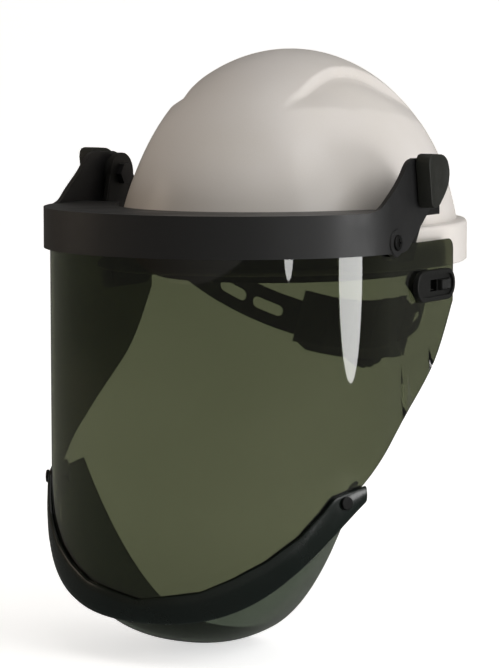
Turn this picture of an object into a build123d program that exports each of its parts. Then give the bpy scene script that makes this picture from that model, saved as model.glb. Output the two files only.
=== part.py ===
from build123d import *

import os
from math import asin, cos, degrees, radians, sin

# A face shield that clips to the two side slots of a safety helmet. Millimetres, +Z up.
# The wearer looks along -Y and the wearer's left is +X. The origin is the middle of the
# head opening, level with the widest part of the helmet's dome.

# Helmet: half an ellipsoid with a flared skirt, a peak and a raised crown panel.
DOME_HALF_WIDTH = 106.0
DOME_HALF_LENGTH = 140.0
DOME_HEIGHT = 147.6
SHELL_WALL = 3.0
CROWN_RISE = 3.0
CROWN_HALF_WIDTH = 38.0
CROWN_FRONT_Y = -84.0
CROWN_REAR_Y = 60.0
CROWN_REAR_HALF_WIDTH = 58.0
RIM_Z = 10.0
SKIRT_TOP_Z = 37.0
SKIRT_FLARE = 4.0
PEAK_FRONT = 172.0
PEAK_Z = 12.0
PEAK_WALL = 3.2

# Window: a sheet bent to half an ellipse in front, with straight sides behind it.
WINDOW_HALF_WIDTH = 116.4
WINDOW_DEPTH = 109.4
BEND_Y = -80.9
WINDOW_WALL = 2.0
WINDOW_TOP_Z = 44.0
WING_TOP_Z = 28.5
WING_REAR_Y = 8.0

# Carrier: the band that the window hangs in, with an arm up to each pivot.
CARRIER_OUT = 4.0
CARRIER_IN = 1.0
CARRIER_LOW_Z = 24.0
CARRIER_TOP_Z = 50.0
FLANGE_WALL = 3.0

# Pivots, one each side.
PIVOT_Y = -36.0
PIVOT_Z = 67.0
BOLT_R = 3.0
RUNNING = 0.05
ADAPTER_IN_X = 109.6
ADAPTER_OUT_X = 113.6
KNOB_IN_X = 120.8
KNOB_OUT_X = 131.0

# Lower trim and chin cup.
TRIM_OUT = 3.2
TRIM_IN = 5.0
TRIM_WEB = 4.0
TRIM_END_Y = -108.0
SLOT_GAP = 0.2
CHIN_WALL = 2.0
CHIN_HALF_WIDTH = 103.0
CHIN_LOW_Z = -227.0

# Head suspension.
BAND_HALF_WIDTH = 84.0
BAND_HALF_LENGTH = 104.0
BAND_WALL = 2.0
STRAP_SLOPE = 29.7
STRAP_HALF_WIDTH = 86.4
STRAP_REACH = 114.4
STRAP_WALL = 2.0
CROWN_STRAP_ANGLE = 50.0

os.makedirs("parts", exist_ok=True)
STRETCH = DOME_HALF_LENGTH / DOME_HALF_WIDTH


def save(part, name):
    """Write one finished piece."""
    part.label = name
    export_step(part, f"parts/{name}.step")


def save_pair(part, name):
    """Write the piece on the wearer's left, and its mirror image on the right."""
    save(part, f"left_{name}")
    save(mirror(part, about=Plane.YZ), f"right_{name}")


def both_sides(part):
    """One node that holds a piece from each side as two separate solids."""
    return Compound(children=[part.solid(), mirror(part, about=Plane.YZ).solid()])


def u_face(grow, rear_y):
    """The window's outline seen from above, grown outwards and closed at the rear."""
    half_width = WINDOW_HALF_WIDTH + grow
    with BuildSketch() as face:
        with BuildLine():
            EllipticalCenterArc((0, BEND_Y), half_width, WINDOW_DEPTH + grow, 180, arc_size=180)
            Polyline(
                (half_width, BEND_Y), (half_width, rear_y), (-half_width, rear_y), (-half_width, BEND_Y)
            )
        make_face()
    return face.sketch


def u_wall(outer, inner, rear_y, low_z, high_z):
    """An upright wall that follows the window, between two offsets from its outer face."""
    with BuildPart(mode=Mode.PRIVATE) as wall:
        with BuildSketch(Plane.XY.offset(low_z)):
            add(u_face(outer, rear_y))
            add(u_face(inner, rear_y + 1), mode=Mode.SUBTRACT)
        extrude(amount=high_z - low_z)
    return wall.part


def dome(grow):
    """The helmet's ellipsoid as a solid half, grown outwards."""
    with BuildPart(mode=Mode.PRIVATE) as half:
        with BuildSketch(Plane.XZ):
            with BuildLine():
                arc = EllipticalCenterArc((0, 0), DOME_HALF_WIDTH + grow, DOME_HEIGHT + grow, 0, arc_size=90)
                Polyline(arc @ 1, (0, 0), arc @ 0)
            make_face()
        revolve(axis=Axis.Z)
        scale(by=(1, STRETCH, 1))
    return half.part


def radial_plane(angle, height):
    """A level plane whose X points outwards from the head's centre at an angle."""
    turn = radians(angle)
    return Plane(origin=(0, 0, height), x_dir=(cos(turn), sin(turn), 0), z_dir=(0, 0, 1))


def trim_low(x):
    """Height of the trim's lower edge, which sweeps up towards the sides."""
    share = x / WINDOW_HALF_WIDTH
    return -201 + 20.8 * share**2 + 59.4 * share**4


# ---------------------------------------------------------------- helmet shell
SKIRT_WIDTH = DOME_HALF_WIDTH + SKIRT_FLARE
DOME_START = degrees(asin(SKIRT_TOP_Z / DOME_HEIGHT))
INNER_HALF_WIDTH = DOME_HALF_WIDTH - SHELL_WALL
INNER_HEIGHT = DOME_HEIGHT - SHELL_WALL
INNER_START = degrees(asin((SKIRT_TOP_Z - SHELL_WALL) / INNER_HEIGHT))
LUG_WIDTH = 18.0
SLOT_Y = -53.0
SLOT_Z = 20.0
SLOT_LENGTH = 16.0
SLOT_HEIGHT = 6.0
LUG_IN_R = 121.6
LUG_OUT_R = 125.0
KEY_ANGLES = [CROWN_STRAP_ANGLE, 180 - CROWN_STRAP_ANGLE, 180 + CROWN_STRAP_ANGLE, -CROWN_STRAP_ANGLE]

with BuildPart() as crown_panel:
    with BuildSketch(Plane.XY.offset(90)):
        with BuildLine():
            front = ThreePointArc(
                (-CROWN_HALF_WIDTH, CROWN_FRONT_Y), (0, CROWN_FRONT_Y + 8), (CROWN_HALF_WIDTH, CROWN_FRONT_Y)
            )
            rear = ThreePointArc(
                (-CROWN_REAR_HALF_WIDTH, CROWN_REAR_Y),
                (0, CROWN_REAR_Y + 24),
                (CROWN_REAR_HALF_WIDTH, CROWN_REAR_Y),
            )
            Spline(front @ 1, (CROWN_HALF_WIDTH + 3, -20), rear @ 1)
            Spline(front @ 0, (-CROWN_HALF_WIDTH - 3, -20), rear @ 0)
        make_face()
    extrude(amount=80)
    add(dome(CROWN_RISE), mode=Mode.INTERSECT)
    add(dome(-1), mode=Mode.SUBTRACT)

with BuildPart() as helmet_shell:
    # Half the section: skirt, ledge and dome, turned about Z and stretched front to back.
    with BuildSketch(Plane.XZ):
        with BuildLine():
            outer = EllipticalCenterArc(
                (0, 0), DOME_HALF_WIDTH, DOME_HEIGHT, DOME_START, arc_size=90 - DOME_START
            )
            inner = EllipticalCenterArc(
                (0, 0), INNER_HALF_WIDTH, INNER_HEIGHT, INNER_START, arc_size=90 - INNER_START
            )
            Line(outer @ 1, inner @ 1)
            Polyline(
                outer @ 0,
                (SKIRT_WIDTH, SKIRT_TOP_Z),
                (SKIRT_WIDTH, RIM_Z),
                (SKIRT_WIDTH - SHELL_WALL, RIM_Z),
                (SKIRT_WIDTH - SHELL_WALL, SKIRT_TOP_Z - SHELL_WALL),
                inner @ 0,
            )
        make_face()
    revolve(axis=Axis.Z)
    scale(by=(1, STRETCH, 1))
    add(crown_panel.part)
    with BuildSketch(Plane.XY.offset(PEAK_Z)):
        Ellipse(DOME_HALF_WIDTH - 1, PEAK_FRONT)
        Ellipse(SKIRT_WIDTH - 1, (SKIRT_WIDTH - 1) * STRETCH, mode=Mode.SUBTRACT)
        Rectangle(400, 400, align=(Align.CENTER, Align.MIN), mode=Mode.SUBTRACT)
    extrude(amount=PEAK_WALL)
    # A lug inside the skirt for each suspension key.
    for angle in KEY_ANGLES:
        with BuildSketch(radial_plane(angle, PEAK_Z)):
            with Locations(((LUG_IN_R + LUG_OUT_R) / 2, 0)):
                Rectangle(LUG_OUT_R - LUG_IN_R, LUG_WIDTH)
        extrude(amount=SKIRT_TOP_Z - SHELL_WALL - PEAK_Z)
    # The accessory slot in each side of the skirt.
    with BuildSketch(Plane.YZ.offset(-150)):
        with Locations((SLOT_Y, SLOT_Z)):
            Rectangle(SLOT_LENGTH, SLOT_HEIGHT)
    extrude(amount=300, mode=Mode.SUBTRACT)
save(helmet_shell.part, "helmet_shell")

# ---------------------------------------------------------------- slot adapters and pivots
ADAPTER_LOW_Z = 17.0
BOSS_R = 14.0
BOSS_OUT_X = 116.4
BLADE_REACH = 13.0
WASHER_WALL = 0.6
BOLT_HEAD_ACROSS = 13.0
BOLT_HEAD_WALL = 4.0

with BuildPart() as adapter:
    with BuildSketch(Plane.YZ.offset(ADAPTER_IN_X)):
        with BuildLine():
            # A leg that leans forwards to the slot, and a rear stop block under the boss.
            Polyline(
                (SLOT_Y - 7, ADAPTER_LOW_Z),
                (SLOT_Y + 7, ADAPTER_LOW_Z),
                (-29, 44.5),
                (-6, 44.5),
                (-6, 50.5),
                (PIVOT_Y + BOSS_R, PIVOT_Z),
                (PIVOT_Y - BOSS_R, PIVOT_Z),
                (-57, 40),
                close=True,
            )
        make_face()
        with Locations((PIVOT_Y, PIVOT_Z)):
            Circle(BOSS_R)
    extrude(amount=ADAPTER_OUT_X - ADAPTER_IN_X)
    fillet(adapter.faces().filter_by(Axis.X).edges().filter_by(GeomType.LINE), 1.0)
    with BuildSketch(Plane.YZ.offset(ADAPTER_OUT_X)):
        with Locations((PIVOT_Y, PIVOT_Z)):
            Circle(BOSS_R - 2)
    extrude(amount=BOSS_OUT_X - ADAPTER_OUT_X)
    # The blade that plugs into the helmet's slot.
    with BuildSketch(Plane.YZ.offset(ADAPTER_IN_X)):
        with Locations((SLOT_Y, SLOT_Z)):
            Rectangle(SLOT_LENGTH - 2, SLOT_HEIGHT - 2)
    extrude(amount=-BLADE_REACH)
    with BuildSketch(Plane.YZ.offset(95)):
        with Locations((PIVOT_Y, PIVOT_Z)):
            Circle(BOLT_R + RUNNING)
    extrude(amount=30, mode=Mode.SUBTRACT)
save_pair(adapter.part, "slot_adapter")

with BuildPart() as pivot_bolt:
    with BuildSketch(Plane.YZ.offset(ADAPTER_IN_X - 0.1)):
        with Locations((PIVOT_Y, PIVOT_Z)):
            RegularPolygon(BOLT_HEAD_ACROSS / 2, 6, major_radius=False)
    extrude(amount=-BOLT_HEAD_WALL)
    with BuildSketch(Plane.YZ.offset(ADAPTER_IN_X - 0.1)):
        with Locations((PIVOT_Y, PIVOT_Z)):
            Circle(BOLT_R)
    extrude(amount=KNOB_OUT_X - 3 - ADAPTER_IN_X)
    chamfer(pivot_bolt.faces().sort_by(Axis.X)[-1].edges(), 0.6)
save_pair(pivot_bolt.part, "pivot_bolt")

with BuildPart() as friction_washer:
    with BuildSketch(Plane.YZ.offset(BOSS_OUT_X + 0.05)):
        with Locations((PIVOT_Y, PIVOT_Z)):
            Circle(BOSS_R - 3)
            Circle(BOLT_R + 0.2, mode=Mode.SUBTRACT)
    extrude(amount=WASHER_WALL)
save_pair(friction_washer.part, "friction_washer")

# ---------------------------------------------------------------- tightening knobs
INSERT_R = 5.0
INSERT_DEPTH = 7.0
KNOB_R = 13.0
KNOB_CORNER_R = 4.0

with BuildPart() as knob:
    with BuildSketch(Plane.YZ.offset(KNOB_IN_X)) as knob_outline:
        with Locations((PIVOT_Y - 2, PIVOT_Z + 4.5)):
            Circle(KNOB_R)
        with Locations((PIVOT_Y - 17, PIVOT_Z + 13.5), (PIVOT_Y - 13, PIVOT_Z - 12.5)):
            Circle(KNOB_CORNER_R)
        make_hull()
    extrude(amount=KNOB_OUT_X - KNOB_IN_X)
    fillet(knob.faces().sort_by(Axis.X)[-1].edges(), 2.5)
    fillet(knob.faces().sort_by(Axis.X)[0].edges(), 0.8)
    with BuildSketch(Plane.YZ.offset(KNOB_IN_X)):
        with Locations((PIVOT_Y, PIVOT_Z)):
            Circle(INSERT_R + RUNNING)
    extrude(amount=INSERT_DEPTH + 1, mode=Mode.SUBTRACT)
save_pair(knob.part, "knob")

with BuildPart() as knob_insert:
    with BuildSketch(Plane.YZ.offset(KNOB_IN_X)):
        with Locations((PIVOT_Y, PIVOT_Z)):
            Circle(INSERT_R)
            Circle(BOLT_R + RUNNING, mode=Mode.SUBTRACT)
    extrude(amount=INSERT_DEPTH)
save_pair(knob_insert.part, "knob_insert")

# ---------------------------------------------------------------- carrier
SCREW_Y = -80.5
SCREW_Z = 30.5
SCREW_R = 2.0
SCREW_HEAD_R = 5.0
SCREW_HEAD_WALL = 1.8
SCREW_BOSS_R = 9.0
SCREW_REACH = 11.0
ARM_EYE_R = 15.0

with BuildPart() as carrier_frame:
    with BuildSketch(Plane.YZ.offset(-150)):
        with BuildLine():
            front_edge = Polyline((-200, CARRIER_LOW_Z), (-200, CARRIER_TOP_Z), (-108, CARRIER_TOP_Z))
            rise = Spline(front_edge @ 1, (-99, 52.2), (-89.4, 58.9), (-75, 69.8), (-65, 79.5), (-57, 82))
            Polyline(rise @ 1, (-36, 82), (-24, 56), (-31, 51.6))
            rear = Spline((-31, 51.6), (-48, 38), (-67, 25))
            Line(rear @ 1, (-200, CARRIER_LOW_Z))
        make_face()
        with Locations((PIVOT_Y, PIVOT_Z)):
            Circle(ARM_EYE_R)
        with Locations((SCREW_Y, SCREW_Z)):
            Circle(SCREW_BOSS_R)
    extrude(amount=300)
    add(u_wall(CARRIER_OUT, CARRIER_IN, 0, 0, 100), mode=Mode.INTERSECT)
    # The flange that reaches in over the helmet's peak.
    with BuildSketch(Plane.XY.offset(CARRIER_TOP_Z - FLANGE_WALL)):
        add(u_face(CARRIER_OUT - 0.5, BEND_Y + 15))
        Ellipse(DOME_HALF_WIDTH - 0.5, DOME_HALF_LENGTH - 1, mode=Mode.SUBTRACT)
    extrude(amount=FLANGE_WALL)
    with BuildSketch(Plane.YZ.offset(-150)):
        with Locations((PIVOT_Y, PIVOT_Z)):
            Circle(BOLT_R + RUNNING)
        with Locations((SCREW_Y, SCREW_Z)):
            Circle(SCREW_R + 0.1)
    extrude(amount=300, mode=Mode.SUBTRACT)
save(carrier_frame.part, "carrier_frame")

# ---------------------------------------------------------------- window
PLATE_Y = -23.0
PLATE_LENGTH = 54.0
PLATE_HEIGHT = 20.0
PLATE_SCREW_Y = (-41.0, -34.5)
STEP_Y = -68.0
RIVET_R = 2.0
RIVET_HEAD_R = 4.2
RIVET_HEAD_WALL = 1.6
RIVET_TAIL_R = 3.4
RIVET_REACH = 13.5
RIVET_Z = -126.9
RIVET_PLAN = (106.8, -124.5)
RIVET_NORMAL = (0.908, -0.419, 0)
left_rivet = Plane(origin=(*RIVET_PLAN, RIVET_Z), x_dir=(0, 0, 1), z_dir=RIVET_NORMAL)

with BuildPart() as left_rivet_bore:
    with BuildSketch(left_rivet.offset(-30)):
        Circle(RIVET_R + 0.15)
    extrude(amount=50)
right_rivet = Plane(
    origin=(-RIVET_PLAN[0], RIVET_PLAN[1], RIVET_Z),
    x_dir=(0, 0, 1),
    z_dir=(-RIVET_NORMAL[0], RIVET_NORMAL[1], 0),
)
right_rivet_bore = mirror(left_rivet_bore.part, about=Plane.YZ)

with BuildPart() as window:
    add(u_wall(0, -WINDOW_WALL, WING_REAR_Y, -210, WINDOW_TOP_Z))
    for side in (left_rivet, right_rivet):
        with BuildSketch(side.offset(-20)):
            Circle(RIVET_R + 0.3)
        extrude(amount=30, mode=Mode.SUBTRACT)
    # Side view: the wing behind the carrier and the long slanted rear edge.
    with BuildSketch(Plane.YZ.offset(-150)):
        with BuildLine():
            Polyline(
                (-120, -230), (-200, -230), (-200, WINDOW_TOP_Z), (STEP_Y, WINDOW_TOP_Z), (STEP_Y, WING_TOP_Z)
            )
            Polyline((STEP_Y, WING_TOP_Z), (WING_REAR_Y, WING_TOP_Z), (WING_REAR_Y, -12))
            slant = Spline((WING_REAR_Y, -12), (-19, -49.8), (-64, -83.4), (-108, -117))
            Line(slant @ 1, (-120, -230))
        make_face()
    extrude(amount=300, mode=Mode.INTERSECT)
    # The lower edge, which stands in the trim's channel.
    with BuildSketch(Plane.XZ.offset(-WING_REAR_Y - 1)):
        with BuildLine():
            reach = WINDOW_HALF_WIDTH + 2
            low = Spline(*[(reach * n / 8, trim_low(reach * n / 8) + TRIM_WEB) for n in range(-8, 9)])
            Polyline(low @ 0, (-reach, 80), (reach, 80), low @ 1)
        make_face()
    extrude(amount=220, mode=Mode.INTERSECT)
    with BuildSketch(Plane.YZ.offset(-150)):
        with Locations((SCREW_Y, SCREW_Z)):
            Circle(SCREW_R + 0.3)
        with Locations(*[(y, 0) for y in PLATE_SCREW_Y]):
            Circle(1.8)
    extrude(amount=300, mode=Mode.SUBTRACT)
save(window.part, "window")

# A strip behind the window's top edge, held by the two side screws.
with BuildPart() as window_retainer:
    add(u_wall(-WINDOW_WALL - 0.2, -WINDOW_WALL - 1.8, -72, 26, 42))
    with BuildSketch(Plane.YZ.offset(-150)):
        with Locations((SCREW_Y, SCREW_Z)):
            Circle(SCREW_R + 0.1)
    extrude(amount=300, mode=Mode.SUBTRACT)
save(window_retainer.part, "window_retainer")

screw_seat_x = WINDOW_HALF_WIDTH + CARRIER_OUT
nut_seat_x = WINDOW_HALF_WIDTH - WINDOW_WALL - 1.85
with BuildPart() as carrier_screw:
    with BuildSketch(Plane.YZ.offset(screw_seat_x + 0.05)):
        with Locations((SCREW_Y, SCREW_Z)):
            Circle(SCREW_HEAD_R)
    extrude(amount=SCREW_HEAD_WALL)
    fillet(carrier_screw.faces().sort_by(Axis.X)[-1].edges(), 0.8)
    with BuildSketch(Plane.YZ.offset(screw_seat_x + 0.05)):
        with Locations((SCREW_Y, SCREW_Z)):
            Circle(SCREW_R)
    extrude(amount=-SCREW_REACH)
    # Cross recess.
    with BuildSketch(Plane.YZ.offset(screw_seat_x + 0.9)):
        with Locations((SCREW_Y, SCREW_Z)):
            Rectangle(5, 1)
            Rectangle(1, 5)
    extrude(amount=2, mode=Mode.SUBTRACT)
save(both_sides(carrier_screw.part), "carrier_screws")

with BuildPart() as carrier_nut:
    with BuildSketch(Plane.YZ.offset(nut_seat_x)):
        with Locations((SCREW_Y, SCREW_Z)):
            RegularPolygon(3.5, 6, major_radius=False)
            Circle(SCREW_R + RUNNING, mode=Mode.SUBTRACT)
    extrude(amount=-2.4)
save(both_sides(carrier_nut.part), "carrier_nuts")

# ---------------------------------------------------------------- lower trim
trim_reach = WINDOW_HALF_WIDTH + TRIM_OUT
with BuildPart() as lower_trim:
    with BuildSketch(Plane.XZ.offset(-TRIM_END_Y)):
        with BuildLine():
            low = Spline(*[(trim_reach * n / 8, trim_low(trim_reach * n / 8)) for n in range(-8, 9)])
            top = Spline(
                (-trim_reach, -106), (-103.5, -123), (-90, -146), (-58, -170.5), (0, -186),
                (58, -170.5), (90, -146), (103.5, -123), (trim_reach, -106),
            )
            Line(low @ 0, top @ 0)
            Line(low @ 1, top @ 1)
        make_face()
    extrude(amount=120)
    add(u_wall(TRIM_OUT, -TRIM_IN, -80, -205, -100), mode=Mode.INTERSECT)
    # The channel that takes the window's lower edge.
    with BuildPart(mode=Mode.PRIVATE) as channel:
        with BuildSketch(Plane.XZ.offset(60)):
            with BuildLine():
                lift = TRIM_WEB - SLOT_GAP
                spots = [trim_reach * n / 8 for n in range(-8, 9)]
                floor = Spline(*[(x, trim_low(x) + lift) for x in spots])
                Polyline(floor @ 0, (-trim_reach, -90), (trim_reach, -90), floor @ 1)
            make_face()
        extrude(amount=160)
        add(u_wall(SLOT_GAP, -WINDOW_WALL - SLOT_GAP, -50, -210, -90), mode=Mode.INTERSECT)
    add(channel.part, mode=Mode.SUBTRACT)
    add(left_rivet_bore.part, mode=Mode.SUBTRACT)
    add(right_rivet_bore, mode=Mode.SUBTRACT)
save(lower_trim.part, "lower_trim")

# ---------------------------------------------------------------- chin cup
CUP_TURN = 73.0


def cup_point(across, along):
    """A point on the cup's outer face: across from -1 to 1, along from trim (0) to rear edge (1)."""
    turn = radians(CUP_TURN * across)
    inset = TRIM_IN + 0.9
    plan_x = (WINDOW_HALF_WIDTH - inset) * sin(turn)
    plan_y = BEND_Y - (WINDOW_DEPTH - inset) * cos(turn)
    top_z = trim_low(WINDOW_HALF_WIDTH * sin(turn)) + 13 - 3 * across**2
    rear_x = CHIN_HALF_WIDTH * across
    rear_y = -98 + 14 * (1 - across**2)
    rear_z = CHIN_LOW_Z + 109 * abs(across) ** 2.4
    pull_x = 0.97 * plan_x
    pull_y = plan_y + 0.10 * (rear_y - plan_y)
    pull_z = rear_z - 1
    a, b, c = (1 - along) ** 2, 2 * along * (1 - along), along**2
    return (
        a * plan_x + b * pull_x + c * rear_x,
        a * plan_y + b * pull_y + c * rear_y,
        a * top_z + b * pull_z + c * rear_z,
    )


cup_face = Face.make_surface_from_array_of_points(
    [[Vector(*cup_point(n / 12, m / 6)) for m in range(7)] for n in range(-12, 13)]
)
with BuildPart() as chin_cup:
    thicken(cup_face, amount=CHIN_WALL)
    add(left_rivet_bore.part, mode=Mode.SUBTRACT)
    add(right_rivet_bore, mode=Mode.SUBTRACT)
save(chin_cup.part, "chin_cup")

with BuildPart() as trim_rivet:
    with BuildSketch(left_rivet.offset(TRIM_OUT + 0.05)):
        Circle(RIVET_HEAD_R)
    extrude(amount=RIVET_HEAD_WALL)
    fillet(trim_rivet.edges().sort_by(Axis.X)[-1], 0.7)
    with BuildSketch(left_rivet.offset(TRIM_OUT + 0.05)):
        Circle(RIVET_R)
    extrude(amount=-RIVET_REACH)
    with BuildSketch(left_rivet.offset(TRIM_OUT - RIVET_REACH)):
        Circle(RIVET_TAIL_R)
        Circle(RIVET_R, mode=Mode.SUBTRACT)
    extrude(amount=1.2)
save(both_sides(trim_rivet.part), "trim_rivets")

# ---------------------------------------------------------------- side plates
PLATE_IN_X = WINDOW_HALF_WIDTH + 0.1
PLATE_OUT_X = 120.2
PLATE_RIM = 3.0
RECESS = 1.6
TRACK_Y = -16.0
CATCH_Y = -10.0

with BuildPart() as side_plate:
    with BuildSketch(Plane.YZ.offset(PLATE_IN_X)):
        with Locations((PLATE_Y, 0)):
            SlotOverall(PLATE_LENGTH, PLATE_HEIGHT)
    extrude(amount=PLATE_OUT_X - PLATE_IN_X)
    fillet(side_plate.faces().sort_by(Axis.X)[-1].edges(), 0.8)
    with BuildSketch(Plane.YZ.offset(PLATE_OUT_X - RECESS)):
        with Locations((PLATE_Y, 0)):
            SlotOverall(PLATE_LENGTH - 2 * PLATE_RIM, PLATE_HEIGHT - 2 * PLATE_RIM)
    extrude(amount=RECESS, mode=Mode.SUBTRACT)
    # The slot that the catch runs in, and the wider track behind it for its foot.
    with BuildSketch(Plane.YZ.offset(PLATE_IN_X - 1)):
        with Locations((TRACK_Y, 0)):
            Rectangle(27, 7.4)
    extrude(amount=6, mode=Mode.SUBTRACT)
    with BuildSketch(Plane.YZ.offset(PLATE_IN_X)):
        with Locations((TRACK_Y, 0)):
            Rectangle(30, 11)
    extrude(amount=1.3, mode=Mode.SUBTRACT)
    with BuildSketch(Plane.YZ.offset(PLATE_IN_X - 1)):
        with Locations(*[(y, 0) for y in PLATE_SCREW_Y]):
            Circle(1.5)
    extrude(amount=3, mode=Mode.SUBTRACT)
save_pair(side_plate.part, "side_plate")

with BuildPart() as catch:
    with BuildSketch(Plane.YZ.offset(PLATE_IN_X + 0.2)):
        with Locations((CATCH_Y, 0)):
            Rectangle(16, 10)
    extrude(amount=0.8)
    with BuildSketch(Plane.YZ.offset(PLATE_IN_X + 0.9)):
        with Locations((CATCH_Y, 0)):
            Rectangle(13, 6.6)
    extrude(amount=3.6)
    # Grip ribs across the thumb tab.
    with BuildSketch(Plane.YZ.offset(PLATE_IN_X + 4.1)):
        with GridLocations(2.6, 0, 5, 1):
            with Locations((CATCH_Y, 0)):
                Rectangle(0.9, 8)
    extrude(amount=1, mode=Mode.SUBTRACT)
save_pair(catch.part, "catch")

PAD_OUT_X = WINDOW_HALF_WIDTH - WINDOW_WALL - 0.2
PAD_IN_X = 112.4
PAD_LENGTH = 50.0
PAD_HEIGHT = 18.0
with BuildPart() as backing_pad:
    with BuildSketch(Plane.YZ.offset(PAD_OUT_X)):
        with Locations((-20, 0)):
            SlotOverall(PAD_LENGTH, PAD_HEIGHT)
    extrude(amount=PAD_IN_X - PAD_OUT_X)
    fillet(backing_pad.faces().sort_by(Axis.X)[0].edges(), 0.5)
    with BuildSketch(Plane.YZ.offset(PAD_OUT_X + 1)):
        with Locations(*[(y, 0) for y in PLATE_SCREW_Y]):
            Circle(1.6)
    extrude(amount=-6, mode=Mode.SUBTRACT)
save_pair(backing_pad.part, "backing_pad")

with BuildPart() as plate_screw:
    for y in PLATE_SCREW_Y:
        with BuildSketch(Plane.YZ.offset(PAD_IN_X - 0.05)):
            with Locations((y, 0)):
                Circle(2.8)
        extrude(amount=-1.0)
        with BuildSketch(Plane.YZ.offset(PAD_IN_X - 0.05)):
            with Locations((y, 0)):
                Circle(1.4)
        extrude(amount=PLATE_IN_X + 1.8 - PAD_IN_X)
with BuildPart() as plate_screws:
    add(plate_screw.part)
    mirror(plate_screw.part, about=Plane.YZ)
save(plate_screws.part, "plate_screws")

# ---------------------------------------------------------------- head suspension
BAND_LOW_Z = 3.0
BAND_TOP_Z = 29.0


def ring_sketch(half_width, half_length, wall):
    """A flat elliptical ring, measured to its outer edge."""
    with BuildSketch() as ring:
        Ellipse(half_width, half_length)
        Ellipse(half_width - wall, half_length - wall, mode=Mode.SUBTRACT)
    return ring.sketch


with BuildPart() as headband:
    with BuildSketch(Plane.XY.offset(BAND_LOW_Z)):
        add(ring_sketch(BAND_HALF_WIDTH, BAND_HALF_LENGTH, BAND_WALL))
    extrude(amount=BAND_TOP_Z - BAND_LOW_Z)
save(headband.part, "headband")

with BuildPart() as sweatband:
    with BuildSketch(Plane.XY.offset(BAND_LOW_Z)):
        add(ring_sketch(BAND_HALF_WIDTH - BAND_WALL - 0.3, BAND_HALF_LENGTH - BAND_WALL - 0.3, 3.2))
        Rectangle(400, 400, align=(Align.CENTER, Align.MIN), mode=Mode.SUBTRACT)
        Rectangle(400, 55, align=(Align.CENTER, Align.MAX), mode=Mode.SUBTRACT)
    extrude(amount=BAND_TOP_Z - BAND_LOW_Z)
save(sweatband.part, "sweatband")

STRAP_R = 96.6
STRAP_FOOT_Z = 18.0
STRAP_RISE = 104.0
STRAP_THICKNESS = 1.2
STRAP_HALF_BREADTH = 9.0
crown_straps = (
    ("front_left_crown_strap", -CROWN_STRAP_ANGLE, 0.0),
    ("front_right_crown_strap", CROWN_STRAP_ANGLE, 3.0),
)
for name, angle, lift in crown_straps:
    upright = Plane(
        origin=(0, 0, STRAP_FOOT_Z),
        x_dir=(cos(radians(angle)), sin(radians(angle)), 0),
        z_dir=(sin(radians(angle)), -cos(radians(angle)), 0),
    )
    with BuildPart() as crown_strap:
        with BuildSketch(upright):
            Ellipse(STRAP_R + STRAP_THICKNESS, STRAP_RISE + lift + STRAP_THICKNESS)
            Ellipse(STRAP_R, STRAP_RISE + lift, mode=Mode.SUBTRACT)
            Rectangle(400, 400, align=(Align.CENTER, Align.MAX), mode=Mode.SUBTRACT)
        extrude(amount=STRAP_HALF_BREADTH, both=True)
    save(crown_strap.part, name)

# Each key hangs the band and a strap's foot from a lug in the shell.
KEY_IN_R = 98.2
with BuildPart() as suspension_keys:
    for angle in KEY_ANGLES:
        with BuildSketch(radial_plane(angle, 8)):
            with Locations(((KEY_IN_R + LUG_IN_R) / 2 - 0.1, 0)):
                Rectangle(LUG_IN_R - KEY_IN_R - 0.2, 14)
        extrude(amount=3)
        with BuildSketch(radial_plane(angle, 8)):
            with Locations((KEY_IN_R + 1, 0)):
                Rectangle(2, 14)
            with Locations((LUG_IN_R - 1.6, 0)):
                Rectangle(2.8, 12)
        extrude(amount=20)
save(suspension_keys.part, "suspension_keys")

# The nape strap runs back and down from the band's sides, in a sloping plane.
slope = Plane(
    origin=(0, 0, 12),
    x_dir=(1, 0, 0),
    z_dir=(0, sin(radians(STRAP_SLOPE)), cos(radians(STRAP_SLOPE))),
)
NAPE_WIDTH = 26.0
STRAP_END_X = 20.0
HOUSING_HALF_WIDTH = 38.0
HOUSING_HEIGHT = 36.0

with BuildPart() as nape_strap:
    with BuildSketch(slope.offset(-NAPE_WIDTH / 2)):
        add(ring_sketch(STRAP_HALF_WIDTH, STRAP_REACH, STRAP_WALL))
        with Locations((STRAP_END_X, 6)):
            Rectangle(200, 200, align=(Align.MIN, Align.MIN), mode=Mode.INTERSECT)
    extrude(amount=NAPE_WIDTH)
save_pair(nape_strap.part, "nape_strap")

with BuildPart() as band_rivet:
    with BuildSketch(Plane.YZ.offset(STRAP_HALF_WIDTH - 0.2)):
        with Locations((12, 7)):
            Circle(3.5)
    extrude(amount=1.6)
save(both_sides(band_rivet.part), "band_rivets")

with BuildPart() as ratchet_back:
    with BuildSketch(slope.offset(-HOUSING_HEIGHT / 2)):
        add(ring_sketch(STRAP_HALF_WIDTH - STRAP_WALL - 0.3, STRAP_REACH - STRAP_WALL - 0.3, 1.6))
        Rectangle(2 * HOUSING_HALF_WIDTH, 400, align=(Align.CENTER, Align.MIN), mode=Mode.INTERSECT)
    extrude(amount=HOUSING_HEIGHT)
save(ratchet_back.part, "ratchet_back")

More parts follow.
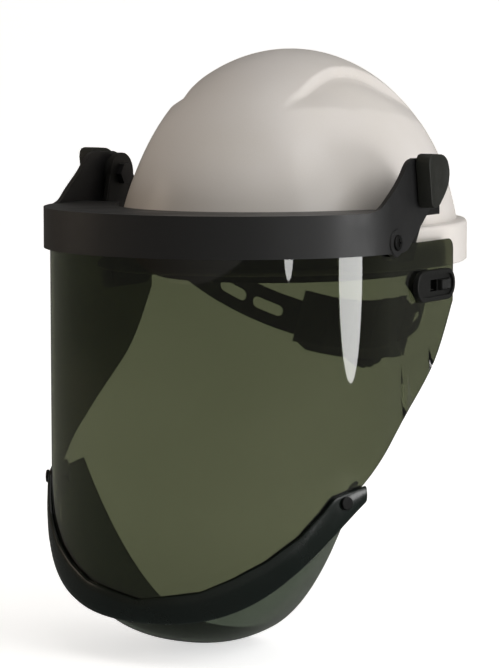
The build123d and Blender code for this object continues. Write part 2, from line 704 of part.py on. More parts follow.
COVER_DEPTH = 12.0
COVER_WALL = 2.4
SHAFT_BORE_R = 3.05
cover_half_width = STRAP_HALF_WIDTH - STRAP_WALL + COVER_DEPTH
cover_reach = STRAP_REACH - STRAP_WALL + COVER_DEPTH
housing_rise = Axis(origin=(0, 0, 0), direction=slope.z_dir)
with BuildPart() as ratchet_cover:
    with BuildSketch(slope.offset(-HOUSING_HEIGHT / 2)):
        add(ring_sketch(cover_half_width, cover_reach, COVER_DEPTH + 0.1))
        Rectangle(2 * HOUSING_HALF_WIDTH, 400, align=(Align.CENTER, Align.MIN), mode=Mode.INTERSECT)
    extrude(amount=HOUSING_HEIGHT)
    fillet(ratchet_cover.edges().filter_by(housing_rise).sort_by(Axis.Y)[-2:], 2)
    with BuildSketch(slope.offset(-HOUSING_HEIGHT / 2 + 2)):
        add(ring_sketch(cover_half_width - COVER_WALL, cover_reach - COVER_WALL, COVER_DEPTH + 2))
        Rectangle(2 * HOUSING_HALF_WIDTH - 4, 400, align=(Align.CENTER, Align.MIN), mode=Mode.INTERSECT)
    extrude(amount=HOUSING_HEIGHT - 4, mode=Mode.SUBTRACT)
    # Mouths for the two strap ends.
    with BuildSketch(slope.offset(-NAPE_WIDTH / 2 - 0.5)):
        add(ring_sketch(STRAP_HALF_WIDTH + 0.6, STRAP_REACH + 0.6, STRAP_WALL + 2))
        Rectangle(200, 400, align=(Align.CENTER, Align.MIN), mode=Mode.INTERSECT)
    extrude(amount=NAPE_WIDTH + 1, mode=Mode.SUBTRACT)
    with BuildSketch(Plane(origin=slope.from_local_coords((0, 100, 0)), x_dir=(1, 0, 0), z_dir=slope.y_dir)):
        Circle(SHAFT_BORE_R)
    extrude(amount=60, mode=Mode.SUBTRACT)
save(ratchet_cover.part, "ratchet_cover")

# Pinion, shaft and knob turn together about the line that leaves the back of the head.
spin = Plane(origin=slope.origin, x_dir=(1, 0, 0), z_dir=slope.y_dir)
PINION_R = 4.6
SHAFT_R = 3.0
DIAL_R = 20.0
DIAL_WALL = 12.0
RACK_IN = STRAP_REACH - 1.2
with BuildPart() as ratchet_pinion:
    with BuildSketch(spin.offset(RACK_IN)):
        Circle(PINION_R - 1)
        with PolarLocations(PINION_R - 1, 10):
            Rectangle(2, 1.2)
    extrude(amount=3)
    with BuildSketch(spin.offset(RACK_IN + 1)):
        Circle(SHAFT_R)
    extrude(amount=cover_reach + 5 - RACK_IN)
save(ratchet_pinion.part, "ratchet_pinion")

with BuildPart() as ratchet_knob:
    with BuildSketch(spin.offset(cover_reach + 0.5)):
        Circle(DIAL_R)
        with PolarLocations(DIAL_R + 0.3, 18):
            Circle(1.3, mode=Mode.SUBTRACT)
    extrude(amount=DIAL_WALL)
    chamfer(ratchet_knob.faces().sort_by(Axis((0, 0, 0), spin.z_dir))[-1].edges(), 0.8)
    with BuildSketch(spin.offset(cover_reach + 0.5)):
        Circle(SHAFT_R + RUNNING)
    extrude(amount=DIAL_WALL / 2 + 0.5, mode=Mode.SUBTRACT)
save(ratchet_knob.part, "ratchet_knob")

for name, x, y in (("left_rack", 5, -PINION_R - 3.4), ("right_rack", -5, PINION_R + 3.4)):
    with BuildPart() as rack:
        with BuildSketch(spin.offset(RACK_IN)):
            with Locations((x, y)):
                Rectangle(32, 6)
            with Locations((x, y - 3 * (1 if y > 0 else -1))):
                with GridLocations(2.9, 0, 10, 1):
                    Rectangle(1.3, 1.4, mode=Mode.SUBTRACT)
        extrude(amount=1.8)
    save(rack.part, name)

with BuildPart() as nape_pad:
    with BuildSketch(slope.offset(-HOUSING_HEIGHT / 2 - 2)):
        add(ring_sketch(STRAP_HALF_WIDTH - STRAP_WALL - 2.2, STRAP_REACH - STRAP_WALL - 2.2, 5))
        Rectangle(90, 400, align=(Align.CENTER, Align.MIN), mode=Mode.INTERSECT)
    extrude(amount=HOUSING_HEIGHT + 4)
save(nape_pad.part, "nape_pad")
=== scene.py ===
"""Face shield on a safety helmet: the finished surfaces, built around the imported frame. Metres."""

import math

import bmesh
import bpy
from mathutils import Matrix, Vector


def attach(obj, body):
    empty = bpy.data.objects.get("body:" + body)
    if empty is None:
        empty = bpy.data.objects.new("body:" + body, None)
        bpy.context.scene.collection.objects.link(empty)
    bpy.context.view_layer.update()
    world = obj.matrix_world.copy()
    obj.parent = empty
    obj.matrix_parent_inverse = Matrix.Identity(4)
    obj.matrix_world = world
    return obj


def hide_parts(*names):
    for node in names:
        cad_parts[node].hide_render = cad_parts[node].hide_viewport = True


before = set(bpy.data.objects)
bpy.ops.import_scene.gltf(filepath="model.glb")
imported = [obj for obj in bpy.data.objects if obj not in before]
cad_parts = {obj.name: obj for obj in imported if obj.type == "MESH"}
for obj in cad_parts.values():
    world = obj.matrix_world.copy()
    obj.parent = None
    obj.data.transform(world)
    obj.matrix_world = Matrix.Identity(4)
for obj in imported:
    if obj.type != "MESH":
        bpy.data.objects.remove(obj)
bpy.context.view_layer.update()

MM = 0.001

# The window's bend: half an ellipse in front of BEND_Y, straight sides behind it. Millimetres.
WINDOW_HALF_WIDTH = 116.4
WINDOW_DEPTH = 109.4
BEND_Y = -80.9
WINDOW_WALL = 2.0
WINDOW_TOP_Z = 44.0
WING_TOP_Z = 28.5
WING_REAR_Y = 8.0

# Helmet.
DOME_HALF_WIDTH = 106.0
DOME_HALF_LENGTH = 140.0
DOME_HEIGHT = 147.6
CROWN_RISE = 3.0
SHELL_WALL = 3.0
RIM_Z = 10.0
SKIRT_TOP_Z = 37.0
SKIRT_SCALE = 1.0377

# Carrier, pivots and trim.
CARRIER_LOW_Z = 24.0
PIVOT = (-36.0, 67.0)
PIVOT_HOLE = 3.3
SLOT_Y = -53.0
SCREW = (-80.5, 30.5)
SCREW_HOLE = 2.3
TRIM_END_Y = -108.0

# Head suspension.
STRAP_SLOPE = math.radians(29.7)
STRAP_HALF_WIDTH = 86.4
STRAP_REACH = 114.4
BAND_HALF_WIDTH = 84.0
BAND_HALF_LENGTH = 104.0
CROWN_STRAP_ANGLE = math.radians(50.0)

# Studio and camera, in metres.
FLOOR_Z = -0.2272
LENS = 146.35
CAMERA_PLACE = Vector((0.87997, -1.57843, 0.14481))
CAMERA_TARGET = Vector((-0.0235, -0.01357, -0.03937))


# ---------------------------------------------------------------- small maths
def clamp(value, low=0.0, high=1.0):
    """A value held between two limits."""
    return max(low, min(high, value))


def ease(start, end, value):
    """0 before start, 1 after end, smooth between them."""
    t = clamp((value - start) / (end - start))
    return t * t * (3 - 2 * t)


def through(points, value):
    """Straight-line reading of a short list of (where, how much) pairs."""
    if value <= points[0][0]:
        return points[0][1]
    for (x0, y0), (x1, y1) in zip(points, points[1:]):
        if value <= x1:
            return y0 + (y1 - y0) * (value - x0) / (x1 - x0)
    return points[-1][1]


def curve_points(points, steps=6):
    """A smooth line through the points, ends included."""
    ends = [points[0], *points, points[-1]]
    line = []
    for a, b, c, d in zip(ends, ends[1:], ends[2:], ends[3:]):
        for n in range(steps):
            t = n / steps
            line.append(tuple(
                0.5 * (
                    2 * q + (r - p) * t + (2 * p - 5 * q + 4 * r - s) * t**2 + (3 * q - p - 3 * r + s) * t**3
                )
                for p, q, r, s in zip(a, b, c, d)
            ))
    line.append(tuple(points[-1]))
    return line


def arc_points(centre, radius, start, end, count):
    """Points on an arc, in degrees, ends included."""
    angles = [math.radians(start + (end - start) * n / (count - 1)) for n in range(count)]
    return [(centre[0] + radius * math.cos(a), centre[1] + radius * math.sin(a)) for a in angles]


class Oval:
    """Distances along half an ellipse, measured from its front."""

    STEPS = 720

    def __init__(self, half_width, depth):
        self.half_width = half_width
        self.depth = depth
        self.reach = [0.0]
        last = (0.0, depth)
        for n in range(1, self.STEPS + 1):
            turn = math.pi * n / self.STEPS
            here = (half_width * math.sin(turn), depth * math.cos(turn))
            self.reach.append(self.reach[-1] + math.dist(last, here))
            last = here

    def quarter(self):
        """Length of a quarter of the ellipse."""
        return self.reach[self.STEPS // 2]

    def turn_at(self, distance):
        """Angle round the ellipse at a distance, in radians."""
        low, high = 0, self.STEPS
        while high - low > 1:
            middle = (low + high) // 2
            if self.reach[middle] <= distance:
                low = middle
            else:
                high = middle
        part = (distance - self.reach[low]) / (self.reach[high] - self.reach[low])
        return math.pi * (low + part) / self.STEPS

    def distance_at(self, turn):
        """Distance at an angle round the ellipse."""
        place = turn / math.pi * self.STEPS
        low = min(int(place), self.STEPS - 1)
        return self.reach[low] + (place - low) * (self.reach[low + 1] - self.reach[low])

    def point(self, distance, out):
        """Across and forward position at a distance along the line, moved outwards."""
        side = 1 if distance >= 0 else -1
        turn = self.turn_at(abs(distance))
        normal = Vector((math.sin(turn) / self.half_width, math.cos(turn) / self.depth)).normalized()
        return (
            side * (self.half_width * math.sin(turn) + out * normal.x),
            self.depth * math.cos(turn) + out * normal.y,
        )


window_oval = Oval(WINDOW_HALF_WIDTH, WINDOW_DEPTH)
nape_oval = Oval(STRAP_HALF_WIDTH, STRAP_REACH)
band_oval = Oval(BAND_HALF_WIDTH, BAND_HALF_LENGTH)
SIDE_START = window_oval.quarter()


def window_wrap(along, out, z):
    """From the window's flat pattern to its place."""
    if abs(along) <= SIDE_START:
        x, forward = window_oval.point(along, out)
        return Vector((x, BEND_Y - forward, z)) * MM
    side = 1 if along > 0 else -1
    return Vector((side * (WINDOW_HALF_WIDTH + out), BEND_Y + abs(along) - SIDE_START, z)) * MM


def nape_wrap(along, out, height):
    """From the nape strap's flat pattern to its sloping place; along starts at the back."""
    x, back = nape_oval.point(along, out)
    y = back * math.cos(STRAP_SLOPE) + height * math.sin(STRAP_SLOPE)
    z = 12 - back * math.sin(STRAP_SLOPE) + height * math.cos(STRAP_SLOPE)
    return Vector((x, y, z)) * MM


def band_wrap(along, out, z):
    """From the headband's flat pattern to its place; along starts at the forehead."""
    x, forward = band_oval.point(along, out)
    return Vector((x, -forward, z)) * MM


def along_of_y(y):
    """Distance along the window's side at a front-to-back position."""
    if y >= BEND_Y:
        return SIDE_START + y - BEND_Y
    return window_oval.distance_at(math.acos(clamp((BEND_Y - y) / WINDOW_DEPTH)))


def along_of_x(x):
    """Distance along the window's front at a position across it."""
    side = 1 if x >= 0 else -1
    return side * window_oval.distance_at(math.asin(clamp(abs(x) / WINDOW_HALF_WIDTH)))


def trim_low(x):
    """Height of the trim's lower edge, which sweeps up towards the sides."""
    share = x / WINDOW_HALF_WIDTH
    return -201 + 20.8 * share**2 + 59.4 * share**4


def trim_top(x):
    """Height of the trim's upper edge."""
    line = [(0, -186), (40, -179), (58, -170.5), (75, -160)]
    line += [(90, -146), (99, -132), (103.5, -123), (115.9, -116)]
    return through(line, abs(x))


# ---------------------------------------------------------------- mesh helpers
def new_piece(name, mesh, body, slot, *nodes):
    """A new piece: it rides on a body and stands for CAD nodes, which it hides. The slot is not used here."""
    piece = bpy.data.objects.new(name, mesh)
    bpy.context.scene.collection.objects.link(piece)
    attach(piece, body)
    if nodes:
        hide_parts(*nodes)
    return piece


def to_mesh(bm, name, sharp_angle=35.0):
    """Smooth faces, with edges over an angle kept crisp."""
    bmesh.ops.recalc_face_normals(bm, faces=bm.faces)
    for face in bm.faces:
        face.smooth = True
    limit = math.radians(sharp_angle)
    for edge in bm.edges:
        edge.smooth = len(edge.link_faces) == 2 and edge.calc_face_angle(0) < limit
    mesh = bpy.data.meshes.new(name)
    bm.to_mesh(mesh)
    bm.free()
    return mesh


def round_edges(bm, radius, angle=50.0, segments=3):
    """Round every edge that turns more than an angle."""
    limit = math.radians(angle)
    picked = [e for e in bm.edges if len(e.link_faces) == 2 and e.calc_face_angle(0) > limit]
    bmesh.ops.bevel(bm, geom=picked, offset=radius, segments=segments, affect="EDGES", clamp_overlap=True)


def flat_plate(bm, outline, low, high, holes=(), rounding=0.6, outer_rounding=0.0):
    """A plate from a closed outline: its outline lies in X and Z, its thickness in Y."""
    edges = []
    for loop in (outline, *holes):
        verts = [bm.verts.new((x, low, z)) for x, z in loop]
        edges += [bm.edges.new(pair) for pair in zip(verts, verts[1:] + verts[:1])]
    if holes:
        filled = bmesh.ops.triangle_fill(bm, use_beauty=True, edges=edges)
        faces = [g for g in filled["geom"] if isinstance(g, bmesh.types.BMFace)]
    else:
        faces = [bm.faces.new([edge.verts[0] for edge in edges])]
    grown = bmesh.ops.extrude_face_region(bm, geom=faces)
    raised = [g for g in grown["geom"] if isinstance(g, bmesh.types.BMVert)]
    bmesh.ops.translate(bm, vec=(0, high - low, 0), verts=raised)
    bmesh.ops.recalc_face_normals(bm, faces=bm.faces)
    if outer_rounding:
        outer = [e for e in bm.edges if all(abs(v.co.y - high) < 1e-6 for v in e.verts)]
        rim = [e for e in outer if e.calc_face_angle(0) > 0.5]
        bmesh.ops.bevel(bm, geom=rim, offset=outer_rounding, segments=5, affect="EDGES", clamp_overlap=True)
    elif rounding:
        round_edges(bm, rounding)


def wrap_plate(bm, wrap, step=4.0):
    """Cut the flat plate into upright strips, then bend it to its place."""
    reach = [v.co.x for v in bm.verts]
    first, last = math.floor(min(reach) / step), math.ceil(max(reach) / step)
    for n in range(first, last + 1):
        geom = [*bm.verts, *bm.edges, *bm.faces]
        bmesh.ops.bisect_plane(bm, geom=geom, dist=0.001, plane_co=(n * step, 0, 0), plane_no=(1, 0, 0))
    for vert in bm.verts:
        vert.co = wrap(vert.co.x, vert.co.y, vert.co.z)


def plate_mesh(name, plates, wrap, step=4.0, sharp_angle=35.0):
    """One mesh of several wrapped plates, each (outline, low, high, holes, rounding, outer rounding)."""
    whole = bmesh.new()
    for outline, low, high, holes, *rounding in plates:
        part = bmesh.new()
        flat_plate(part, outline, low, high, holes, *rounding)
        wrap_plate(part, wrap, step)
        bmesh.ops.recalc_face_normals(part, faces=part.faces)
        spare = bpy.data.meshes.new("spare")
        part.to_mesh(spare)
        part.free()
        whole.from_mesh(spare)
        bpy.data.meshes.remove(spare)
    return to_mesh(whole, name, sharp_angle)


def grid_faces(bm, rows, closed=False):
    """Quads between rows of points; closed joins each row's end to its start."""
    made = [[bm.verts.new(p) for p in row] for row in rows]
    for near, far in zip(made, made[1:]):
        span = len(near) if closed else len(near) - 1
        for n in range(span):
            m = (n + 1) % len(near)
            bm.faces.new((near[n], near[m], far[m], far[n]))
    return made


def capped_tube(bm, rows):
    """Quads round closed rows of points, with a face over each end."""
    made = grid_faces(bm, rows, closed=True)
    for row in (made[0], made[-1]):
        bm.faces.new(row)


def mirrored(points):
    """The other half of a symmetric outline, in reverse order."""
    return [(-x, z) for x, z in reversed(points)]


def both_sides(loop):
    """A hole and its mirror image."""
    return [loop, [(-x, z) for x, z in loop]]


# ---------------------------------------------------------------- node helpers
def new_group(name, inputs, outputs):
    """An empty shader group with named sockets: (name, type, default) in, (name, type) out."""
    group = bpy.data.node_groups.new(name, "ShaderNodeTree")
    for label, kind, value in inputs:
        socket = group.interface.new_socket(label, in_out="INPUT", socket_type=kind)
        socket.default_value = value
    for label, kind in outputs:
        group.interface.new_socket(label, in_out="OUTPUT", socket_type=kind)
    return group, group.nodes.new("NodeGroupInput"), group.nodes.new("NodeGroupOutput")


def add_node(tree, kind, **values):
    """A node with its properties and unlinked sockets set by name."""
    node = tree.nodes.new(kind)
    for key, value in values.items():
        if key in node.inputs:
            node.inputs[key].default_value = value
        else:
            setattr(node, key, value)
    return node


def noise_at(tree, vector, scale, detail=4.0, roughness=0.6):
    """The value of a noise texture at a place."""
    node = add_node(tree, "ShaderNodeTexNoise", Scale=scale, Detail=detail, Roughness=roughness)
    tree.links.new(vector, node.inputs["Vector"])
    return node.outputs["Fac"]


def spread(tree, value, low, high, to_low=0.0, to_high=1.0):
    """Stretch a value's range, clamped."""
    node = tree.nodes.new("ShaderNodeMapRange")
    tree.links.new(value, node.inputs["Value"])
    for label, number in (("From Min", low), ("From Max", high), ("To Min", to_low), ("To Max", to_high)):
        node.inputs[label].default_value = number
    return node.outputs["Result"]


def build_moulded_tone():
    """Uneven colour of moulded plastic: two tones mixed by broad clouds and fine specks."""
    group, inside, outside = new_group(
        "moulded_tone",
        [("Light", "NodeSocketColor", (0.8, 0.8, 0.8, 1)), ("Dark", "NodeSocketColor", (0.5, 0.5, 0.5, 1)),
         ("Cloud Scale", "NodeSocketFloat", 9.0)],
        [("Color", "NodeSocketColor")],
    )
    place = group.nodes.new("ShaderNodeTexCoord").outputs["Object"]
    cloud = add_node(group, "ShaderNodeTexNoise", Detail=3.0, Roughness=0.55)
    group.links.new(place, cloud.inputs["Vector"])
    group.links.new(inside.outputs["Cloud Scale"], cloud.inputs["Scale"])
    speck = noise_at(group, place, 900.0, 2.0)
    blend = add_node(group, "ShaderNodeMath", operation="MULTIPLY_ADD")
    group.links.new(speck, blend.inputs[0])
    blend.inputs[1].default_value = 0.25
    group.links.new(cloud.outputs["Fac"], blend.inputs[2])
    mix = add_node(group, "ShaderNodeMix", data_type="RGBA")
    group.links.new(spread(group, blend.outputs[0], 0.42, 0.82), mix.inputs["Factor"])
    group.links.new(inside.outputs["Light"], mix.inputs[6])
    group.links.new(inside.outputs["Dark"], mix.inputs[7])
    group.links.new(mix.outputs[2], outside.inputs["Color"])
    return group


def build_fine_grain():
    """Spark-eroded mould grain as a height, and the roughness that goes with it."""
    group, inside, outside = new_group(
        "fine_grain",
        [("Grain Scale", "NodeSocketFloat", 1400.0), ("Rough Low", "NodeSocketFloat", 0.3),
         ("Rough High", "NodeSocketFloat", 0.5)],
        [("Height", "NodeSocketFloat"), ("Roughness", "NodeSocketFloat")],
    )
    place = group.nodes.new("ShaderNodeTexCoord").outputs["Object"]
    cell = add_node(group, "ShaderNodeTexNoise", Detail=2.0, Roughness=0.7)
    group.links.new(place, cell.inputs["Vector"])
    group.links.new(inside.outputs["Grain Scale"], cell.inputs["Scale"])
    patch = noise_at(group, place, 35.0, 4.0)
    mix = add_node(group, "ShaderNodeMix", data_type="FLOAT")
    group.links.new(spread(group, patch, 0.35, 0.65), mix.inputs["Factor"])
    group.links.new(inside.outputs["Rough Low"], mix.inputs[2])
    group.links.new(inside.outputs["Rough High"], mix.inputs[3])
    group.links.new(cell.outputs["Fac"], outside.inputs["Height"])
    group.links.new(mix.outputs[0], outside.inputs["Roughness"])
    return group


def build_scuffs():
    """Hair scratches and dust, as a mask that is mostly zero."""
    group, inside, outside = new_group(
        "scuffs",
        [("Amount", "NodeSocketFloat", 0.5)],
        [("Mask", "NodeSocketFloat")],
    )
    place = group.nodes.new("ShaderNodeTexCoord").outputs["Object"]
    lean = add_node(group, "ShaderNodeMapping", Rotation=(0.3, 0.5, 0.9), Scale=(1.0, 14.0, 1.0))
    group.links.new(place, lean.inputs["Vector"])
    hair = spread(group, noise_at(group, lean.outputs["Vector"], 90.0, 6.0, 0.75), 0.66, 0.74)
    where = spread(group, noise_at(group, place, 14.0, 2.0), 0.5, 0.7)
    both = add_node(group, "ShaderNodeMath", operation="MULTIPLY")
    group.links.new(hair, both.inputs[0])
    group.links.new(where, both.inputs[1])
    scaled = add_node(group, "ShaderNodeMath", operation="MULTIPLY")
    group.links.new(both.outputs[0], scaled.inputs[0])
    group.links.new(inside.outputs["Amount"], scaled.inputs[1])
    group.links.new(scaled.outputs[0], outside.inputs["Mask"])
    return group


def build_weave():
    """Plain weave of thick yarn, as a height."""
    group, inside, outside = new_group(
        "weave",
        [("Yarn Scale", "NodeSocketFloat", 700.0)],
        [("Height", "NodeSocketFloat")],
    )
    place = group.nodes.new("ShaderNodeTexCoord").outputs["Object"]
    waves = []
    for direction in ("X", "Z"):
        wave = add_node(group, "ShaderNodeTexWave", bands_direction=direction, Distortion=0.6)
        group.links.new(place, wave.inputs["Vector"])
        group.links.new(inside.outputs["Yarn Scale"], wave.inputs["Scale"])
        waves.append(wave.outputs["Fac"])
    both = add_node(group, "ShaderNodeMath", operation="MAXIMUM")
    group.links.new(waves[0], both.inputs[0])
    group.links.new(waves[1], both.inputs[1])
    group.links.new(both.outputs[0], outside.inputs["Height"])
    return group


MOULDED_TONE = build_moulded_tone()
FINE_GRAIN = build_fine_grain()
SCUFFS = build_scuffs()
WEAVE = build_weave()


def new_material(name):
    """A material with its node tree and its Principled surface."""
    material = bpy.data.materials.new(name)
    material.use_nodes = True
    tree = material.node_tree
    return material, tree, tree.nodes["Principled BSDF"]


def place_group(tree, group, **values):
    """A shader group with its sockets set; an underscore stands for a space in a socket's name."""
    node = tree.nodes.new("ShaderNodeGroup")
    node.node_tree = group
    for label, value in values.items():
        node.inputs[label.replace("_", " ")].default_value = value
    return node


def add_bump(tree, surface, height, strength, distance):
    """Raise a surface's normal by a height."""
    bump = add_node(tree, "ShaderNodeBump", Strength=strength, Distance=distance)
    tree.links.new(height, bump.inputs["Height"])
    tree.links.new(bump.outputs["Normal"], surface.inputs["Normal"])


def plastic(name, light, dark, rough, grain=1400.0, bump=0.12, coat=0.0, sheen=0.5):
    """Moulded plastic: uneven tone, mould grain and a few scuffs."""
    material, tree, surface = new_material(name)
    tone = place_group(tree, MOULDED_TONE, Light=(*light, 1), Dark=(*dark, 1), Cloud_Scale=9.0)
    skin = place_group(tree, FINE_GRAIN, Grain_Scale=grain, Rough_Low=rough[0], Rough_High=rough[1])
    scuff = place_group(tree, SCUFFS, Amount=0.35)
    wear = add_node(tree, "ShaderNodeMix", data_type="RGBA")
    wear.inputs[7].default_value = (*[min(1.0, c * 1.35 + 0.02) for c in light], 1)
    tree.links.new(scuff.outputs["Mask"], wear.inputs["Factor"])
    tree.links.new(tone.outputs["Color"], wear.inputs[6])
    tree.links.new(wear.outputs[2], surface.inputs["Base Color"])
    tree.links.new(skin.outputs["Roughness"], surface.inputs["Roughness"])
    surface.inputs["Coat Weight"].default_value = coat
    surface.inputs["Coat Roughness"].default_value = 0.12
    surface.inputs["Specular IOR Level"].default_value = sheen
    add_bump(tree, surface, skin.outputs["Height"], bump, 0.00015)
    return material


def tinted_sheet(name, tint, deep_tint, rough=0.02):
    """Tinted polycarbonate: clear, with faint handling marks in its gloss and tone."""
    material, tree, surface = new_material(name)
    tone = place_group(tree, MOULDED_TONE, Light=(*tint, 1), Dark=(*deep_tint, 1), Cloud_Scale=5.0)
    tree.links.new(tone.outputs["Color"], surface.inputs["Base Color"])
    scuff = place_group(tree, SCUFFS, Amount=0.5)
    gloss = spread(tree, scuff.outputs["Mask"], 0.0, 1.0, rough, 0.22)
    tree.links.new(gloss, surface.inputs["Roughness"])
    surface.inputs["Transmission Weight"].default_value = 1.0
    surface.inputs["Metallic"].default_value = 0.0
    surface.inputs["IOR"].default_value = 1.58
    return material


def metal(name, light, dark, rough):
    """Turned or plated metal with fine tool marks."""
    material, tree, surface = new_material(name)
    tone = place_group(tree, MOULDED_TONE, Light=(*light, 1), Dark=(*dark, 1), Cloud_Scale=60.0)
    skin = place_group(tree, FINE_GRAIN, Grain_Scale=2200.0, Rough_Low=rough[0], Rough_High=rough[1])
    tree.links.new(tone.outputs["Color"], surface.inputs["Base Color"])
    tree.links.new(skin.outputs["Roughness"], surface.inputs["Roughness"])
    surface.inputs["Metallic"].default_value = 1.0
    add_bump(tree, surface, skin.outputs["Height"], 0.1, 0.0001)
    return material


def cloth(name, light, dark, yarn):
    """Woven or brushed fabric, with painted shade between its yarns."""
    material, tree, surface = new_material(name)
    tone = place_group(tree, MOULDED_TONE, Light=(*light, 1), Dark=(*dark, 1), Cloud_Scale=40.0)
    yarns = place_group(tree, WEAVE, Yarn_Scale=yarn)
    # Painted shade: the colour is darkened where the weave is low, between the yarns.
    painted_weave_shade = add_node(tree, "ShaderNodeMix", data_type="RGBA", blend_type="MULTIPLY")
    painted_weave_shade.inputs["Factor"].default_value = 0.6
    tree.links.new(tone.outputs["Color"], painted_weave_shade.inputs[6])
    tree.links.new(yarns.outputs["Height"], painted_weave_shade.inputs[7])
    tree.links.new(painted_weave_shade.outputs[2], surface.inputs["Base Color"])
    surface.inputs["Roughness"].default_value = 0.92
    surface.inputs["Sheen Weight"].default_value = 0.25
    add_bump(tree, surface, yarns.outputs["Height"], 0.6, 0.0003)
    return material


FINISH = {
    "shell": plastic(
        "shell_plastic", (0.70, 0.665, 0.645), (0.66, 0.62, 0.58),
        (0.30, 0.42), 600.0, 0.05, coat=0.12, sheen=0.3,
    ),
    "carrier": plastic(
        "carrier_plastic", (0.0095, 0.0095, 0.0098), (0.0070, 0.0070, 0.0073),
        (0.40, 0.50), sheen=0.5,
    ),
    "black_nylon": plastic(
        "black_nylon", (0.0075, 0.0078, 0.0070), (0.0050, 0.0052, 0.0046),
        (0.42, 0.56), sheen=0.3,
    ),
    "knob": plastic(
        "knob_plastic", (0.016, 0.017, 0.013), (0.011, 0.0115, 0.0085),
        (0.48, 0.62), 1000.0, 0.2, sheen=0.4,
    ),
    "trim": plastic(
        "trim_plastic", (0.0050, 0.0090, 0.0072), (0.0034, 0.0062, 0.0050),
        (0.20, 0.30), 500.0, 0.03, coat=0.05, sheen=0.4,
    ),
    "band_plastic": plastic(
        "band_plastic", (0.016, 0.017, 0.019), (0.011, 0.012, 0.013),
        (0.36, 0.5), sheen=0.4,
    ),
    "nylon_washer": plastic("washer_nylon", (0.35, 0.34, 0.30), (0.30, 0.29, 0.25), (0.4, 0.5)),
    "pad_rubber": plastic(
        "pad_rubber", (0.012, 0.012, 0.011), (0.008, 0.008, 0.0075),
        (0.6, 0.75), sheen=0.3,
    ),
    # Part real tint, part painted shade: the window's tint is set dark enough to stand also for a dim room
    # seen through it.
    "window_tint": tinted_sheet("window_sheet", (0.074, 0.082, 0.046), (0.060, 0.068, 0.036)),
    "cup_tint": tinted_sheet("cup_sheet", (0.060, 0.075, 0.054), (0.048, 0.062, 0.044)),
    "black_screw": metal("black_screw_steel", (0.030, 0.030, 0.030), (0.018, 0.018, 0.018), (0.35, 0.5)),
    "zinc_steel": metal("black_zinc_steel", (0.060, 0.060, 0.062), (0.040, 0.040, 0.042), (0.35, 0.5)),
    "brass": metal("turned_brass", (0.75, 0.56, 0.27), (0.60, 0.44, 0.20), (0.2, 0.35)),
    "sweat_fabric": cloth("sweat_terry", (0.050, 0.052, 0.056), (0.030, 0.031, 0.034), 900.0),
    "webbing": cloth("strap_webbing", (0.070, 0.071, 0.074), (0.045, 0.046, 0.048), 1200.0),
}


def make(name, mesh, body, slot, *nodes):
    """A new piece with its slot's finish on it."""
    piece = new_piece(name, mesh, body, slot, *nodes)
    piece.data.materials.append(FINISH[slot])
    return piece


# ---------------------------------------------------------------- carrier
def carrier_edge_rise():
    """The carrier's top edge from the front band up the arm, as (front-to-back, height)."""
    return curve_points([(-108, 50), (-99, 52.2), (-89.4, 58.9), (-75, 69.8), (-65, 79.5), (-57, 82)])


def carrier_half_outline(low):
    """Half of the carrier's side, from the middle of the front to the arm and back, flat."""
    rise = [(along_of_y(y), z) for y, z in carrier_edge_rise()]
    top = [(along_of_y(y), z) for y, z in arc_points(PIVOT, 15.0, 95, -35, 14)]
    under_arm = curve_points([(-26.5, 54.5), (-31, 51.6), (-50, 37.0), (-63, 26.8), (-69, 24.2)])
    rear = [(along_of_y(y), z) for y, z in under_arm]
    boss = [(along_of_y(y), z) for y, z in arc_points(SCREW, 9.0, -50, -130, 9)]
    return rise + top + rear + boss + [(along_of_y(-90.5), low)]


def make_carrier():
    """The band over the window, with an arm up to each pivot."""
    inside, outside, pad_outside = 1.0, 4.0, 4.7
    half = carrier_half_outline(CARRIER_LOW_Z)
    hole = arc_points((along_of_y(PIVOT[0]), PIVOT[1]), PIVOT_HOLE, 0, 345, 24)
    plates = [(half + mirrored(half), inside, outside, both_sides(hole), 0.7, 2.4)]
    for side in (1, -1):
        screw = (side * along_of_y(SCREW[0]), SCREW[1])
        # The round pad under the screw, a small step up from the band.
        plates.append((arc_points(screw, 8.6, 0, 350, 36), outside - 0.4, pad_outside, (), 0.35))
        # The low ring round the pivot's eye.
        eye = (side * along_of_y(PIVOT[0]), PIVOT[1])
        ring = arc_points(eye, 14.0, 0, 350, 36)
        eye_hole = arc_points(eye, PIVOT_HOLE, 0, 345, 24)
        plates.append((ring, outside - 0.4, outside + 0.15, [eye_hole], 0.1))
    make("carrier", plate_mesh("carrier", plates, window_wrap), "shield", "carrier", "carrier_frame")


def make_carrier_flange():
    """The ledge that reaches in from the carrier's top over the helmet's peak."""
    bm = bmesh.new()
    rows = []
    steps = 96
    rear = BEND_Y + 15.0
    half_width, half_length = DOME_HALF_WIDTH - 0.4, DOME_HALF_LENGTH - 1.0
    end = math.acos(rear / -half_length)
    reach = along_of_y(rear)
    for inner, z in ((False, 50.0), (True, 49.6), (True, 47.2), (False, 47.0)):
        row = []
        for n in range(steps + 1):
            share = n / steps
            if inner:
                turn = -end + 2 * end * share
                row.append(Vector((half_width * math.sin(turn), -half_length * math.cos(turn), z)) * MM)
            else:
                row.append(window_wrap(-reach + 2 * reach * share, 3.2, z))
        rows.append(row)
    grid_faces(bm, [*rows, rows[0]])
    bmesh.ops.remove_doubles(bm, verts=bm.verts, dist=1e-6)
    make("carrier_flange", to_mesh(bm, "carrier_flange"), "shield", "carrier")


# ---------------------------------------------------------------- window
def screw_hole():
    """The left carrier screw's hole, in the flat pattern."""
    return arc_points((along_of_y(SCREW[0]), SCREW[1]), SCREW_HOLE, 0, 340, 18)


